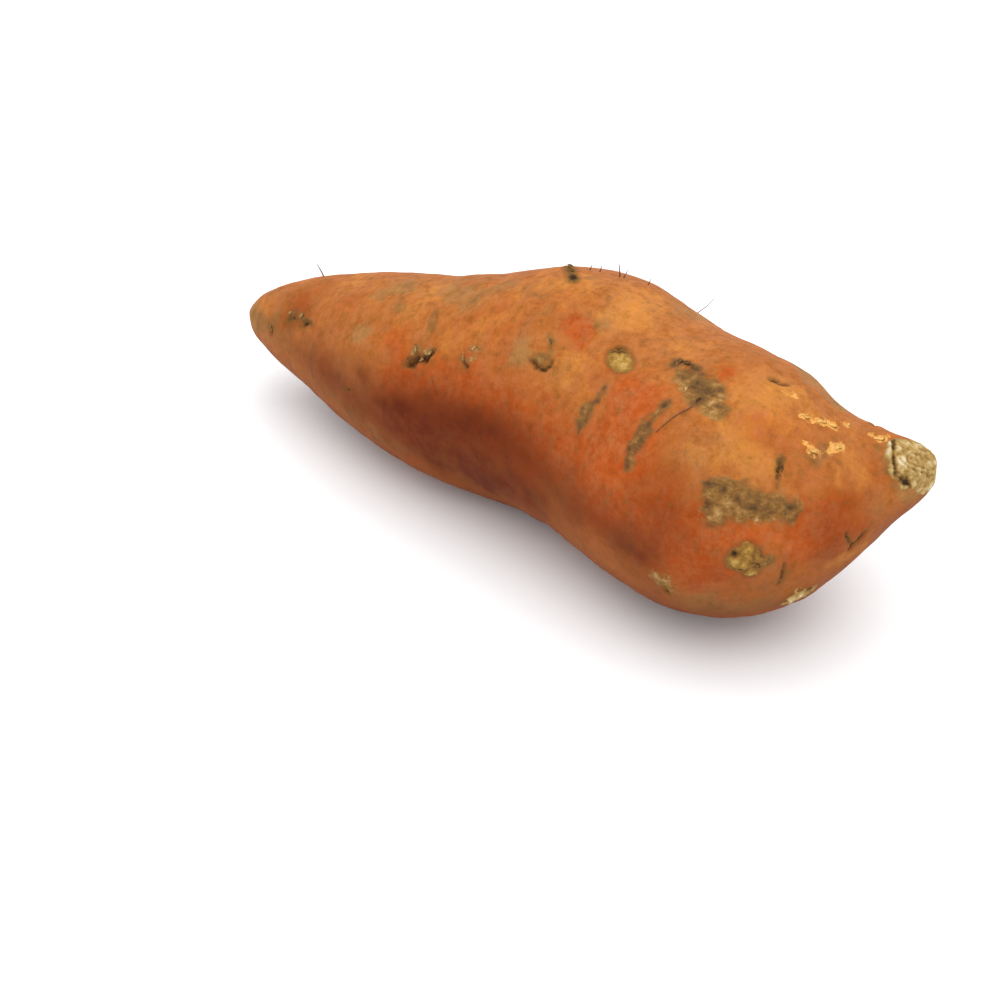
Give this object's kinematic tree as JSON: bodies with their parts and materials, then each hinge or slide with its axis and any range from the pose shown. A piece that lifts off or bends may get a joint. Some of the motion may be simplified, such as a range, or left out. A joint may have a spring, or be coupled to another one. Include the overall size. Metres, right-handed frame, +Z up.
{
  "type": "sweet potato",
  "caption": "Whole raw sweet potato: a plump tapered root with dry coppery skin, corky scars and shallow eyes, lying on a small flat spot.",
  "frame": {"origin": "Under the middle of the root's box, on the surface that the root lies on.", "axes": "+X runs along the length, from the blunt far tip to the stem end with its corky scar. +Y is across the root, away from the side that shows most scars. +Z is up as the root lies."},
  "size_m": [0.1762, 0.0736, 0.059],
  "materials": {
    "skin": "dry and matt, with a soft sheen"
  },
  "bodies": {
    "root": {"sweet_potato": "skin"}
  },
  "joints": []
}
